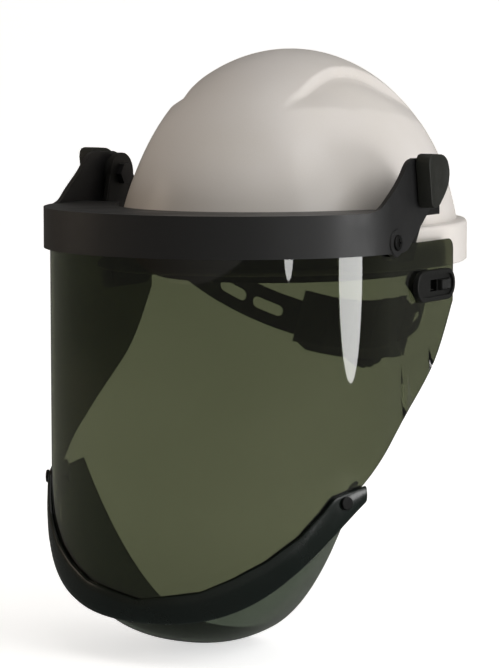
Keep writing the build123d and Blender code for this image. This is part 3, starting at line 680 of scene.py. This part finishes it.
def window_half_outline():
    """Half of the window's flat pattern: top, wing, long slanted rear edge and bottom."""
    wing = [(along_of_y(-68), WINDOW_TOP_Z - 2), (along_of_y(-68), WING_TOP_Z + 2)]
    wing += arc_points((along_of_y(-66), WING_TOP_Z + 2), 2.0, 180, 270, 5)
    wing += arc_points((along_of_y(WING_REAR_Y - 7), WING_TOP_Z - 7), 7.0, 90, 0, 8)
    slant = curve_points([(WING_REAR_Y, -12), (-19, -49.8), (-64, -83.4), (-108, -117), (-113, -121)])
    wing += [(along_of_y(y), z) for y, z in slant]
    across = [100.0, 96.0, 90.0, 82.0, 72.0, 60.0, 48.0, 36.0, 24.0, 12.0]
    return wing + [(along_of_x(x), trim_low(x) + 4.4) for x in across]


def make_window():
    """The bent sheet, cut from its flat pattern with a hole for each carrier screw."""
    half = window_half_outline()
    top = [(along_of_y(-68) - 2, WINDOW_TOP_Z)]
    outline = top + half + mirrored(half) + [(-x, z) for x, z in top]
    sheet = (outline, -WINDOW_WALL, 0.0, both_sides(screw_hole()), 0.25)
    mesh = plate_mesh("window", [sheet], window_wrap, step=3.0, sharp_angle=12.0)
    make("window_sheet", mesh, "shield", "window_tint", "window")


def make_window_retainer():
    """The strip inside the window that the carrier's screws clamp it with."""
    reach = along_of_y(-73)
    outline = [(-reach, 27.5), (-reach + 1.5, 26), (reach - 1.5, 26), (reach, 27.5)]
    outline += [(reach, 40.5), (reach - 1.5, 42), (-reach + 1.5, 42), (-reach, 40.5)]
    outside = -WINDOW_WALL - 0.2
    strip = (outline, outside - 1.6, outside, both_sides(screw_hole()), 0.35)
    mesh = plate_mesh("retainer", [strip], window_wrap)
    make("window_clamp", mesh, "shield", "black_nylon", "window_retainer")


# ---------------------------------------------------------------- lower trim and chin cup
def make_lower_trim():
    """A moulded rail round the window's lower edge: rounded outside, with an inner lip above."""
    bm = bmesh.new()
    rows = []
    end = along_of_y(TRIM_END_Y) - 0.5
    count = 128
    for n in range(count + 1):
        along = -end + 2 * end * n / count
        x = window_wrap(along, 0, 0).x / MM
        low, high = trim_low(x) + 0.05, trim_top(x) - 0.2
        tall = max(high - low, 1.0)
        crown = min(3.1, 0.28 * tall)
        # Outside face from the top edge down, under, and back up the inside to the inner lip.
        section = [
            (0.35, high - 0.2), (1.2, high), (2.2, high - 0.5), (2.8, high - min(2.2, tall * 0.25)),
            (3.1, high - tall * 0.45), (2.9, low + tall * 0.26), (2.2, low + crown * 0.45), (0.8, low + 0.1),
            (-1.6, low), (-3.8, low + 0.5), (-4.8, low + crown * 0.7), (-4.9, low + tall * 0.5),
            (-4.9, high - 0.6), (-4.2, high), (-2.6, high - 0.1), (-2.3, high - 0.8),
            (-2.3, low + 4.1), (0.3, low + 4.1),
        ]
        rows.append([window_wrap(along, out, z) for out, z in section])
    capped_tube(bm, rows)
    make("trim_rail", to_mesh(bm, "trim_rail", 42), "shield", "trim", "lower_trim")


def cup_point(across, along):
    """A point on the chin cup: across from -1 to 1, along from the trim (0) to the rear edge (1)."""
    turn = math.radians(73.0 * across)
    inset = 5.9
    plan_x = (WINDOW_HALF_WIDTH - inset) * math.sin(turn)
    plan_y = BEND_Y - (WINDOW_DEPTH - inset) * math.cos(turn)
    top_z = trim_low(WINDOW_HALF_WIDTH * math.sin(turn)) + 13 - 3 * across**2
    rear_x = 103.0 * across
    rear_y = -98 + 14 * (1 - across**2)
    rear_z = -227 + 109 * abs(across) ** 2.4
    pull = (0.97 * plan_x, plan_y + 0.10 * (rear_y - plan_y), rear_z - 1)
    a, b, c = (1 - along) ** 2, 2 * along * (1 - along), along**2
    return Vector((
        a * plan_x + b * pull[0] + c * rear_x,
        a * plan_y + b * pull[1] + c * rear_y,
        a * top_z + b * pull[2] + c * rear_z,
    )) * MM


def make_chin_cup():
    """One bent tinted sheet under the chin, closed to its wall's thickness."""
    bm = bmesh.new()
    columns, rows = 80, 28
    outer = [[cup_point(-1 + 2 * n / columns, m / rows) for m in range(rows + 1)] for n in range(columns + 1)]
    wall = 1.9 * MM
    chin = Vector((0, -0.09, -0.12))
    shell = []
    for n, line in enumerate(outer):
        back = []
        for m, point in enumerate(line):
            before, after = outer[max(n - 1, 0)][m], outer[min(n + 1, columns)][m]
            under, over = line[max(m - 1, 0)], line[min(m + 1, rows)]
            normal = (after - before).cross(over - under).normalized()
            if normal.dot(chin - point) < 0:
                normal = -normal
            back.append(point + normal * wall)
        shell.append(line + back[::-1])
    capped_tube(bm, shell)
    make("cup_sheet", to_mesh(bm, "cup_sheet", 50), "shield", "cup_tint", "chin_cup")


# ---------------------------------------------------------------- helmet
def dome_point(x, y, out=0.0):
    """A point on the dome over a place in plan, moved out along its normal. Millimetres."""
    share = clamp(1 - (x / DOME_HALF_WIDTH) ** 2 - (y / DOME_HALF_LENGTH) ** 2)
    base = Vector((x, y, DOME_HEIGHT * math.sqrt(share)))
    normal = Vector((x / DOME_HALF_WIDTH**2, y / DOME_HALF_LENGTH**2, base.z / DOME_HEIGHT**2)).normalized()
    return base + normal * out


def crown_edge(y):
    """Half width of the crown at a front-to-back position, where the side scoops begin."""
    return through([(-84, 34), (-76, 37), (-59, 40), (-20, 40), (8, 43), (30, 49), (50, 56), (66, 60)], y)


def crease_line(y):
    """Half width at which the side scoops run out, in a soft crease."""
    return through([(-84, 36), (-76, 42), (-60, 53), (-37, 65), (-2, 72), (33, 72), (52, 68), (66, 62)], y)


def shell_relief(x, y):
    """How far the outer face stands off the plain dome: the crown, and the scoops beside it."""
    side = abs(x)
    rear = 1 - ease(66, 92, y)
    front = ease(-112, -78, y)
    edge, crease = crown_edge(y), crease_line(y)
    crown = CROWN_RISE * front * rear * (1 - ease(edge + 6, edge + 40, side))
    depth = 7.6 * ease(-84, -40, y) * (1 - ease(24, 64, y))
    if depth <= 0 or side < edge - 0.8 or side > crease + 3:
        return crown
    wall = ease(edge - 0.8, edge + 3.2, side)
    ramp = 1 - clamp((side - edge) / max(crease - edge, 1.0))
    return crown - depth * wall * ramp * (1 - 0.15 * ramp)


def make_helmet():
    """The shell: crown and scoops, ledge, and skirt with a slot in each side."""
    bm = bmesh.new()
    around, up = 288, 112
    start = math.asin(SKIRT_TOP_Z / DOME_HEIGHT)

    def ring_at(turn, out, width_scale=1.0, z=None):
        """A ring of the dome at a steepness, or of the skirt at a height."""
        row = []
        for n in range(around):
            angle = 2 * math.pi * n / around
            x = DOME_HALF_WIDTH * math.cos(turn) * math.cos(angle) * width_scale
            y = DOME_HALF_LENGTH * math.cos(turn) * math.sin(angle) * width_scale
            if z is None:
                # The inside follows the outer relief only in part.
                relief = shell_relief(x, y) * (1.0 if out > -1 else 0.4)
                point = dome_point(x, y, out + relief)
            else:
                point = Vector((x, y, z)) + Vector((math.cos(angle), math.sin(angle), 0)) * out
            row.append(point * MM)
        return row

    turns = [start + (math.radians(89.2) - start) * m / up for m in range(up + 1)]
    rings = [ring_at(t, -SHELL_WALL) for t in reversed(turns)]
    # Down the skirt's inside, round its rim, up its outside and over its top edge.
    skirt = [(-3.6, SKIRT_TOP_Z - 3.4), (-3.0, SKIRT_TOP_Z - 6), (-3.0, RIM_Z + 0.6)]
    skirt += [(-2.2, RIM_Z), (-0.8, RIM_Z), (0.0, RIM_Z + 0.7)]
    skirt += [(0.0, z) for z in (14, 18, 22, 26, 30, 33.5)]
    skirt += [(-0.3, SKIRT_TOP_Z - 1.4), (-1.3, SKIRT_TOP_Z - 0.3)]
    rings += [ring_at(0, out, SKIRT_SCALE, z) for out, z in skirt]
    rings += [ring_at(t, 0.0) for t in turns]
    capped_tube(bm, rings)
    bmesh.ops.recalc_face_normals(bm, faces=bm.faces)
    # The accessory slot in each side of the skirt.
    slot_faces = []
    for face in bm.faces:
        centre = face.calc_center_median() / MM
        if abs(centre.y - SLOT_Y) < 8.5 and 18 < centre.z < 22 and abs(centre.x) > 90:
            slot_faces.append(face)
    bmesh.ops.delete(bm, geom=slot_faces, context="FACES")
    make("helmet_shell_skin", to_mesh(bm, "helmet_shell", 48), "helmet", "shell", "helmet_shell")


def make_helmet_peak():
    """The peak: a rounded ledge that reaches forwards of the skirt, gently turned down at its edge."""
    bm = bmesh.new()
    rows = []
    steps = 96
    least_reach = 0.56
    section = [(0.0, 15.1), (0.5, 15.1), (0.9, 14.6), (1.0, 13.6), (0.97, 12.4), (0.9, 12.1), (0.0, 12.1)]
    for n in range(steps + 1):
        turn = math.radians(-89.5 + 179 * n / steps)
        side, front = math.sin(turn), math.cos(turn)
        inner = Vector((108.6 * side, -143.6 * front, 0))
        outer = Vector((104.6 * side, -171.6 * front, 0))
        if outer.length - inner.length <= least_reach:
            outer = inner * 1.001
        rows.append([(inner.lerp(outer, share) + Vector((0, 0, z))) * MM for share, z in section])
    capped_tube(bm, rows)
    make("helmet_peak", to_mesh(bm, "helmet_peak", 50), "helmet", "shell")


# ---------------------------------------------------------------- knobs
def make_knobs():
    """Hand knobs with one straight side: a flat front facet, a crisp ridge, and a dished outer face."""
    for side, name in ((1, "left"), (-1, "right")):
        bm = bmesh.new()
        outline = [(-56.6, 78.5), (-56.0, 82.0), (-54.0, 84.2)]
        crest = [(-51.0, 84.8), (-43.0, 84.4), (-35.0, 83.6), (-28.5, 80.0), (-25.2, 74.0)]
        outline += curve_points(crest, 5)
        outline += curve_points([(-25.0, 71.0), (-27.0, 64.5), (-33.5, 58.0), (-41.0, 52.4)], 5)
        outline += [(-44.5, 50.9), (-48.0, 50.6), (-50.6, 51.2), (-52.3, 53.2)]
        outline += [(-53.0 - 0.72 * n, 56.0 + 4.5 * n) for n in range(5)]
        core = (PIVOT[0] - 4.0, PIVOT[1] + 1.0)

        def ring(shrink, out, lean=0.0):
            """The outline drawn in by a distance; lean drops the rear half."""
            row = []
            for y, z in outline:
                dy, dz = y - core[0], z - core[1]
                reach = math.hypot(dy, dz)
                share = (reach - shrink) / reach
                x = side * (out - lean * max(dy, 0))
                row.append(Vector((x, core[0] + dy * share, core[1] + dz * share)) * MM)
            return row

        rings = [
            ring(1.0, 120.85), ring(0.2, 121.3), ring(0.0, 122.0), ring(0.0, 129.9, 0.06),
            ring(0.25, 130.6, 0.07), ring(0.8, 130.85, 0.07), ring(2.0, 130.6, 0.07),
            ring(5.0, 129.7, 0.05), ring(9.0, 129.2, 0.03), ring(12.5, 129.1, 0.02),
        ]
        made = grid_faces(bm, rings, closed=True)
        bm.faces.new(made[-1])
        inner = [bm.verts.new(p) for p in ring(9.0, 120.85)]
        for n in range(len(inner)):
            m = (n + 1) % len(inner)
            bm.faces.new((made[0][n], inner[n], inner[m], made[0][m]))
        mesh = to_mesh(bm, f"{name}_grip_knob", 40)
        make(f"{name}_grip_knob", mesh, f"{name}_knob", "knob", f"{name}_knob")


# ---------------------------------------------------------------- head suspension
def ring_pad(wrap, reach, count, section, seam_every=0):
    """A pad bent along a band: a closed section swept along, drawn in at the sewn channels and ends."""
    bm = bmesh.new()
    rows = []
    for n in range(count + 1):
        along = -reach + 2 * reach * n / count
        close = clamp(min(reach - abs(along), 5.0) / 5.0)
        puff = 0.35 + 0.65 * math.sqrt(close)
        if seam_every:
            phase = abs((along / seam_every) % 1.0 - 0.5) * 2
            puff *= 1 - 0.38 * ease(0.80, 1.0, phase)
        rows.append([wrap(along, out * puff if out < 0 else out, z) for out, z in section])
    capped_tube(bm, rows)
    return bm


def make_sweatband():
    """The brow pad: towelling over foam, drawn in along both edges and at its sewn channels."""
    section = [
        (0.0, 4.2), (0.0, 27.8), (-0.6, 28.7), (-1.5, 28.0), (-2.0, 26.8), (-1.7, 25.9), (-2.6, 24.4),
        (-3.05, 20.5), (-3.15, 16.0), (-3.05, 11.5), (-2.6, 7.6), (-1.7, 6.1), (-2.0, 5.2), (-1.5, 4.0),
        (-0.6, 3.3),
    ]

    def wrap(along, out, z):
        return band_wrap(along, out - 2.35, z)

    reach = band_oval.distance_at(math.acos(55.5 / 101.7))
    bm = ring_pad(wrap, reach, 110, section, 22.0)
    pad = make("brow_pad", to_mesh(bm, "brow_pad", 60), "helmet", "sweat_fabric", "sweatband")


def make_nape_pad():
    """The nape cushion in front of the ratchet, drawn in at its edges and sewn channels."""
    section = [
        (0.0, -18.0), (0.0, 18.0), (-1.0, 19.6), (-2.6, 19.4), (-3.9, 17.6), (-3.1, 15.8), (-4.4, 13.0),
        (-4.95, 7.0), (-4.95, 0.0), (-4.95, -7.0), (-4.4, -13.0), (-3.1, -15.8), (-3.9, -17.6),
        (-2.6, -19.4), (-1.0, -19.6),
    ]

    def wrap(along, out, z):
        return nape_wrap(along, out - 4.25, z)

    bm = ring_pad(wrap, 45.0, 70, section, 22.5)
    pad = make("nape_cushion", to_mesh(bm, "nape_cushion", 60), "helmet", "sweat_fabric", "nape_pad")


def make_crown_straps():
    """Two webbing straps that cross under the crown, with raised selvedges."""
    section = [
        (-8.9, 0.3), (-8.6, 0.9), (-7.2, 1.15), (-6.4, 0.75), (0, 0.85), (6.4, 0.75), (7.2, 1.15),
        (8.6, 0.9), (8.9, 0.3), (8.6, 0.05), (6.4, 0.15), (0, 0.25), (-6.4, 0.15), (-8.6, 0.05),
    ]
    for name, angle, lift in (
        ("front_left_crown_strap", -CROWN_STRAP_ANGLE, 0.0),
        ("front_right_crown_strap", CROWN_STRAP_ANGLE, 3.0),
    ):
        bm = bmesh.new()
        out_dir = Vector((math.cos(angle), math.sin(angle), 0))
        side_dir = Vector((math.sin(angle), -math.cos(angle), 0))
        rows = []
        count = 72
        for n in range(count + 1):
            turn = math.pi * n / count
            sag = 0.35 * math.sin(6 * turn)
            row = []
            for across, out in section:
                reach = (96.6 + out) * math.cos(turn)
                rise = (104.0 + lift + out + sag * (1 - abs(across) / 18)) * math.sin(turn)
                row.append((out_dir * reach + side_dir * across + Vector((0, 0, 18 + max(rise, 0)))) * MM)
            rows.append(row)
        capped_tube(bm, rows)
        make(f"{name}_webbing", to_mesh(bm, f"{name}_webbing", 55), "helmet", "webbing", name)


def make_headband():
    """The band, with a low rib along each edge."""
    reach = band_oval.distance_at(math.radians(179.0))
    plates = []
    for low, high, inside, outside, rounding in (
        (3.2, 28.8, -2.0, -0.25, 0.5), (3.0, 5.4, -0.5, 0.0, 0.2), (26.6, 29.0, -0.5, 0.0, 0.2),
    ):
        outline = [(-reach, low), (reach, low), (reach, high), (-reach, high)]
        plates.append((outline, inside, outside, (), rounding))
    make("head_band", plate_mesh("headband", plates, band_wrap, 5.0), "helmet", "band_plastic", "headband")


def make_nape_straps():
    """The two slotted plastic straps from the band's sides back to the ratchet."""
    start = nape_oval.distance_at(math.asin(20.5 / STRAP_HALF_WIDTH))
    end = nape_oval.distance_at(math.acos(6.5 / STRAP_REACH))
    for side, name in ((1, "left"), (-1, "right")):
        low, high = (start, end) if side > 0 else (-end, -start)
        outline = [(low, -12.4), (low + 1, -12.9), (high - 1, -12.9), (high, -12.4)]
        outline += [(high, 12.4), (high - 1, 12.9), (low + 1, 12.9), (low, 12.4)]
        holes = []
        for n in range(3):
            middle = side * (start + 48 + 30 * n)
            one_end = arc_points((middle + 8, 0), 4.2, -90, 90, 9)
            holes.append(one_end + arc_points((middle - 8, 0), 4.2, 90, 270, 9))
        mesh = plate_mesh(f"{name}_nape_strap", [(outline, -2.0, 0.0, holes, 0.5)], nape_wrap)
        make(f"{name}_nape_band", mesh, "helmet", "band_plastic", f"{name}_nape_strap")


# ---------------------------------------------------------------- side catches
def make_catches():
    """Ribbed thumb tabs that slide in the side plates."""
    front, rear, half_height = -16.3, -3.7, 3.2
    groove_pitch, groove_depth, steps = 2.1, 0.55, 40
    for side, name in ((1, "left"), (-1, "right")):
        bm = bmesh.new()
        # The foot under the plate, then the stem through its slot.
        for y0, y1, z, x0, x1 in (
            (-17.9, -2.1, 4.9, 116.75, 117.45), (front, rear, half_height, 117.4, 119.6),
        ):
            corners = [(y0, -z), (y1, -z), (y1, z), (y0, z)]
            capped_tube(bm, [[Vector((side * x, y, zz)) * MM for y, zz in corners] for x in (x0, x1)])
        # The tab, with its grip grooves.
        rows = []
        for n in range(steps + 1):
            y = front + (rear - front) * n / steps
            wave = 0.5 - 0.5 * math.cos(2 * math.pi * (y - front) / groove_pitch)
            crest = 120.75 - groove_depth * wave**2 - (0.5 if n in (0, steps) else 0)
            half = [(119.5, half_height), (crest - 0.5, half_height), (crest, half_height - 0.5)]
            section = [(x, -z) for x, z in half] + half[::-1]
            rows.append([Vector((side * x, y, z)) * MM for x, z in section])
        capped_tube(bm, rows)
        mesh = to_mesh(bm, f"{name}_thumb_catch")
        make(f"{name}_thumb_catch", mesh, f"{name}_catch", "black_nylon", f"{name}_catch")


# ---------------------------------------------------------------- finishes on the frame's own pieces
KEPT_NODES = {
    "black_nylon": ["left_slot_adapter", "right_slot_adapter", "left_side_plate", "right_side_plate",
                    "ratchet_back", "ratchet_cover", "ratchet_knob", "ratchet_pinion", "left_rack",
                    "right_rack", "suspension_keys"],
    "zinc_steel": ["left_pivot_bolt", "right_pivot_bolt"],
    "nylon_washer": ["left_friction_washer", "right_friction_washer"],
    "brass": ["left_knob_insert", "right_knob_insert"],
    "black_screw": ["carrier_screws", "carrier_nuts", "plate_screws", "trim_rivets", "band_rivets"],
    "pad_rubber": ["left_backing_pad", "right_backing_pad"],
}


def finish_kept_nodes():
    """Put the finishes on the frame's own pieces."""
    for slot, names in KEPT_NODES.items():
        for name in names:
            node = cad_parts[name]
            for n in range(max(len(node.material_slots), 1)):
                if not node.material_slots:
                    node.data.materials.append(FINISH[slot])
                node.material_slots[n].material = FINISH[slot]


# ---------------------------------------------------------------- studio
def area_light(name, shape, place, target, width, height, power, colour):
    """A flat lamp at a place, turned to a target."""
    data = bpy.data.lights.new(name, "AREA")
    data.shape = shape
    data.size, data.size_y = width, height
    data.energy = power
    data.color = colour
    lamp = bpy.data.objects.new(name, data)
    bpy.context.scene.collection.objects.link(lamp)
    lamp.location = place
    lamp.rotation_mode = "QUATERNION"
    lamp.rotation_quaternion = (Vector(target) - Vector(place)).to_track_quat("-Z", "Y")


def make_floor():
    """A pale sweep that glows and so lights the part: flat under the part, curved up behind it."""
    bm = bmesh.new()
    rows = []
    profile = [(-3.0, FLOOR_Z), (0.5, FLOOR_Z), (1.4, -0.21), (2.0, -0.1), (2.4, 0.2), (2.6, 0.8), (2.7, 3.0)]
    for y, z in profile:
        rows.append([Vector((x, y, z)) for x in (-4.0, -2.0, 0.0, 2.0, 4.0)])
    grid_faces(bm, rows)
    mesh = to_mesh(bm, "sweep", 60)
    floor = bpy.data.objects.new("sweep", mesh)
    bpy.context.scene.collection.objects.link(floor)
    material, tree, surface = new_material("glowing_sweep_paper")
    light, dark = (0.93, 0.93, 0.93, 1), (0.90, 0.90, 0.90, 1)
    tone = place_group(tree, MOULDED_TONE, Light=light, Dark=dark, Cloud_Scale=1.0)
    # Painted reflection: glossy rays see the floor painted dark and glowing faintly, so gloss on the part
    # shows a dim floor; other rays see it pale and glowing.
    rays = tree.nodes.new("ShaderNodeLightPath")
    only_mirrored = add_node(tree, "ShaderNodeMath", operation="SUBTRACT", use_clamp=True)
    tree.links.new(rays.outputs["Is Glossy Ray"], only_mirrored.inputs[0])
    tree.links.new(rays.outputs["Is Transmission Ray"], only_mirrored.inputs[1])
    mirrored_ray = only_mirrored.outputs[0]
    dim = add_node(tree, "ShaderNodeMix", data_type="RGBA")
    dim.inputs[7].default_value = (0.10, 0.10, 0.095, 1)
    tree.links.new(mirrored_ray, dim.inputs["Factor"])
    tree.links.new(tone.outputs["Color"], dim.inputs[6])
    tree.links.new(dim.outputs[2], surface.inputs["Base Color"])
    # Painted glow: the sweep gives off light of its own, 0.62 for most rays and 0.05 for glossy ones.
    tree.links.new(spread(tree, mirrored_ray, 0.0, 1.0, 0.62, 0.05), surface.inputs["Emission Strength"])
    surface.inputs["Roughness"].default_value = 0.9
    surface.inputs["Specular IOR Level"].default_value = 0.1
    surface.inputs["Emission Color"].default_value = (1.0, 1.0, 1.0, 1)
    mesh.materials.append(material)


def make_studio():
    """The room, the sweep and the lamps; the two streaks also give the window its bright reflections."""
    world = bpy.data.worlds.new("studio")
    bpy.context.scene.world = world
    world.use_nodes = True
    background = world.node_tree.nodes["Background"]
    # The room is warm and dim on the left and brighter on the right.
    tree = world.node_tree
    split = tree.nodes.new("ShaderNodeSeparateXYZ")
    tree.links.new(tree.nodes.new("ShaderNodeTexCoord").outputs["Generated"], split.inputs["Vector"])
    mix = add_node(tree, "ShaderNodeMix", data_type="RGBA")
    mix.inputs[6].default_value = (0.13, 0.105, 0.08, 1)
    mix.inputs[7].default_value = (0.42, 0.42, 0.40, 1)
    tree.links.new(spread(tree, split.outputs["X"], -0.6, 1.0), mix.inputs["Factor"])
    tree.links.new(mix.outputs[2], background.inputs["Color"])
    background.inputs["Strength"].default_value = 1.0
    make_floor()
    warm, white = (1.0, 0.83, 0.66), (1, 1, 1)
    for name, shape, place, target, width, height, power, colour in (
        ("key_right", "RECTANGLE", (1.5, -0.2, 0.9), (0, -0.02, 0.0), 0.9, 1.2, 10.3, white),
        ("top_soft", "RECTANGLE", (0.3, -0.1, 1.6), (0, 0, 0), 1.2, 1.2, 4.2, white),
        ("warm_left", "RECTANGLE", (-1.6, -0.6, 0.5), (-0.05, 0, 0.08), 0.8, 0.8, 3.2, warm),
        ("right_streak", "ELLIPSE", (0.871, 0.138, -0.040), (0.11, -0.11, -0.02), 0.31, 0.22, 1.41, white),
        ("front_streak", "ELLIPSE", (0.793, -0.534, -0.029), (0.088, -0.153, 0.0), 0.09, 0.052, 0.093, white),
    ):
        area_light(name, shape, place, target, width, height, power, colour)
    view = bpy.context.scene.view_settings
    view.view_transform = "Standard"
    view.exposure = 0.0


def make_camera():
    """A long lens, on the wearer's left of the front and a little above."""
    data = bpy.data.cameras.new("camera")
    data.lens = LENS
    data.sensor_width = 36.0
    data.clip_start, data.clip_end = 0.05, 50.0
    camera = bpy.data.objects.new("camera", data)
    bpy.context.scene.collection.objects.link(camera)
    camera.location = CAMERA_PLACE
    camera.rotation_mode = "QUATERNION"
    camera.rotation_quaternion = (CAMERA_TARGET - CAMERA_PLACE).to_track_quat("-Z", "Y")
    bpy.context.scene.camera = camera


# ---------------------------------------------------------------- build
make_carrier()
make_carrier_flange()
make_window()
make_window_retainer()
make_lower_trim()
make_chin_cup()
make_helmet()
make_helmet_peak()
make_knobs()
make_headband()
make_sweatband()
make_nape_straps()
make_nape_pad()
make_crown_straps()
make_catches()
finish_kept_nodes()
make_studio()
make_camera()
